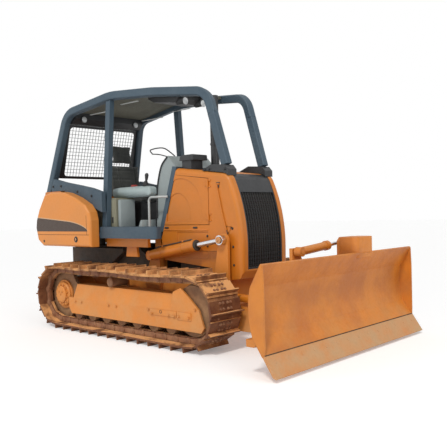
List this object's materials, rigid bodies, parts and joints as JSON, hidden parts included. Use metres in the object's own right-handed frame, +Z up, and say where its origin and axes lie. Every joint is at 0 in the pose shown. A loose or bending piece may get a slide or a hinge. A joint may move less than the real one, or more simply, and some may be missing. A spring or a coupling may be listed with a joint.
{
  "type": "crawler bulldozer",
  "caption": "Small crawler bulldozer with open canopy, steel tracks and a six-way blade on a C-frame that lifts, angles and tilts by cylinders.",
  "frame": {"origin": "on the ground under the middle of the overall length and width", "axes": "+X forward towards the blade, +Y to the machine's left, +Z up"},
  "size_m": [4.17, 2.44, 2.6926],
  "materials": {
    "orange_paint": "satin, dusty",
    "slate_paint": "satin",
    "black_paint": "satin",
    "dark_iron": "rough, oily dust",
    "track_steel": "rusty, dusty",
    "worn_steel": "scoured",
    "chrome_rod": "polished",
    "beige_plastic": "matte",
    "grey_plastic": "matte",
    "seat_cloth": "woven",
    "black_plastic": "matte",
    "pale_paint": "satin"
  },
  "bodies": {
    "tractor": {"armrests": "grey_plastic", "canopy_feet": "black_paint", "canopy_roof": "slate_paint", "consoles": "beige_plastic", "cowl_frame": "slate_paint", "dash": "grey_plastic", "drawbar": "black_paint", "drive_housing": "dark_iron", "engine_block": "dark_iron", "exhaust_stack": "black_paint", "fender_pods": "orange_paint", "final_drives": "orange_paint", "front_sweeps": "slate_paint", "grille": "black_paint", "handles": "pale_paint", "hood_sides": "orange_paint", "hood_top": "orange_paint", "hull": "orange_paint", "idlers": "track_steel", "levers": "black_plastic", "mid_posts": "slate_paint", "nose": "orange_paint", "platform": "slate_paint", "radiator": "black_paint", "rear_guard": "black_paint", "rear_header": "black_paint", "rear_posts": "slate_paint", "rear_tank": "orange_paint", "rollers": "track_steel", "roof_rails": "slate_paint", "roof_unit": "black_plastic", "seat_back": "seat_cloth", "seat_base": "black_plastic", "seat_cushion": "seat_cloth", "seat_head": "seat_cloth", "side_panels": "slate_paint", "side_rails": "orange_paint", "sprockets": "track_steel", "track_frames": "orange_paint", "track_left": "track_steel", "track_right": "track_steel", "work_light": "black_paint"},
    "c_frame": {"c_arm_right": "orange_paint", "c_arm_left": "orange_paint", "c_cross": "orange_paint"},
    "yoke": {"blade_yoke": "orange_paint"},
    "blade": {"moldboard": "orange_paint", "cutting_edge": "worn_steel"},
    "tilt_barrel_body": {"tilt_barrel": "orange_paint"},
    "tilt_rod_body": {"tilt_rod": "chrome_rod"},
    "lift_barrel_right_body": {"lift_barrel_right": "orange_paint"},
    "lift_rod_right_body": {"lift_rod_right": "chrome_rod"},
    "angle_barrel_right_body": {"angle_barrel_right": "orange_paint"},
    "angle_rod_right_body": {"angle_rod_right": "chrome_rod"},
    "engine_door_right_body": {"engine_door_right": "orange_paint"},
    "lift_barrel_left_body": {"lift_barrel_left": "orange_paint"},
    "lift_rod_left_body": {"lift_rod_left": "chrome_rod"},
    "angle_barrel_left_body": {"angle_barrel_left": "orange_paint"},
    "angle_rod_left_body": {"angle_rod_left": "chrome_rod"},
    "engine_door_left_body": {"engine_door_left": "orange_paint"}
  },
  "joints": [
    {"name": "blade_lift", "type": "hinge", "parent": "tractor", "child": "c_frame", "pos_m": [-0.415, 0, 0.38], "axis": [0, 1, 0], "range_deg": [-18.5, 11.5]},
    {"name": "blade_angle", "type": "hinge", "parent": "c_frame", "child": "yoke", "pos_m": [1.535, 0, 0.285], "axis": [0, 0, 1], "range_deg": [-25, 25]},
    {"name": "blade_tilt", "type": "hinge", "parent": "yoke", "child": "blade", "pos_m": [1.785, 0, 0.35], "axis": [1, 0, 0], "range_deg": [-9, 9]},
    {"name": "lift_barrel_right_pivot", "type": "hinge", "parent": "tractor", "child": "lift_barrel_right_body", "pos_m": [-0.209, -0.462, 0.85], "axis": [0, 1, 0], "range_deg": [-24, 14.92]},
    {"name": "lift_rod_right_slide", "type": "slide", "parent": "lift_barrel_right_body", "child": "lift_rod_right_body", "axis": [0.9859, 0, 0.1673], "range_m": [-0.126, 0.0783]},
    {"name": "angle_barrel_right_pivot", "type": "hinge", "parent": "c_frame", "child": "angle_barrel_right_body", "pos_m": [0.945, -0.4365, 0.478], "axis": [0, 0, 1], "range_deg": [-7.61, 7.61]},
    {"name": "angle_rod_right_slide", "type": "slide", "parent": "angle_barrel_right_body", "child": "angle_rod_right_body", "axis": [0.9968, -0.0801, 0], "range_m": [-0.2099, 0.2099]},
    {"name": "engine_door_right_hinge", "type": "hinge", "parent": "tractor", "child": "engine_door_right_body", "pos_m": [0.585, -0.37, 1.43], "axis": [0, 0, 1], "range_deg": [0, 90]},
    {"name": "lift_barrel_left_pivot", "type": "hinge", "parent": "tractor", "child": "lift_barrel_left_body", "pos_m": [-0.209, 0.462, 0.85], "axis": [0, 1, 0], "range_deg": [-24, 14.92]},
    {"name": "lift_rod_left_slide", "type": "slide", "parent": "lift_barrel_left_body", "child": "lift_rod_left_body", "axis": [0.9859, 0, 0.1673], "range_m": [-0.126, 0.0783]},
    {"name": "angle_barrel_left_pivot", "type": "hinge", "parent": "c_frame", "child": "angle_barrel_left_body", "pos_m": [0.945, 0.4365, 0.478], "axis": [0, 0, 1], "range_deg": [-7.61, 7.61]},
    {"name": "angle_rod_left_slide", "type": "slide", "parent": "angle_barrel_left_body", "child": "angle_rod_left_body", "axis": [0.9968, 0.0801, 0], "range_m": [-0.2099, 0.2099]},
    {"name": "engine_door_left_hinge", "type": "hinge", "parent": "tractor", "child": "engine_door_left_body", "pos_m": [0.585, 0.37, 1.43], "axis": [0, 0, -1], "range_deg": [0, 90]},
    {"name": "tilt_barrel_pivot", "type": "hinge", "parent": "yoke", "child": "tilt_barrel_body", "pos_m": [1.715, -0.38, 0.93], "axis": [1, 0, 0], "range_deg": [-4.74, 4.74]},
    {"name": "tilt_rod_slide", "type": "slide", "parent": "tilt_barrel_body", "child": "tilt_rod_body", "axis": [0, 0.9969, 0.0783], "range_m": [-0.0956, 0.0956]}
  ],
  "couplings": [
    {"joint": "lift_barrel_right_pivot", "follows": "blade_lift", "ratio": 1.2945},
    {"joint": "lift_rod_right_slide", "follows": "blade_lift", "m_per_rad": 0.3895},
    {"joint": "angle_barrel_right_pivot", "follows": "blade_angle", "ratio": 0.3038},
    {"joint": "angle_rod_right_slide", "follows": "blade_angle", "m_per_rad": 0.4801},
    {"joint": "lift_barrel_left_pivot", "follows": "blade_lift", "ratio": 1.2945},
    {"joint": "lift_rod_left_slide", "follows": "blade_lift", "m_per_rad": 0.3895},
    {"joint": "angle_barrel_left_pivot", "follows": "blade_angle", "ratio": 0.3038},
    {"joint": "angle_rod_left_slide", "follows": "blade_angle", "m_per_rad": -0.4801},
    {"joint": "tilt_barrel_pivot", "follows": "blade_tilt", "ratio": 0.5256},
    {"joint": "tilt_rod_slide", "follows": "blade_tilt", "m_per_rad": -0.6075}
  ]
}
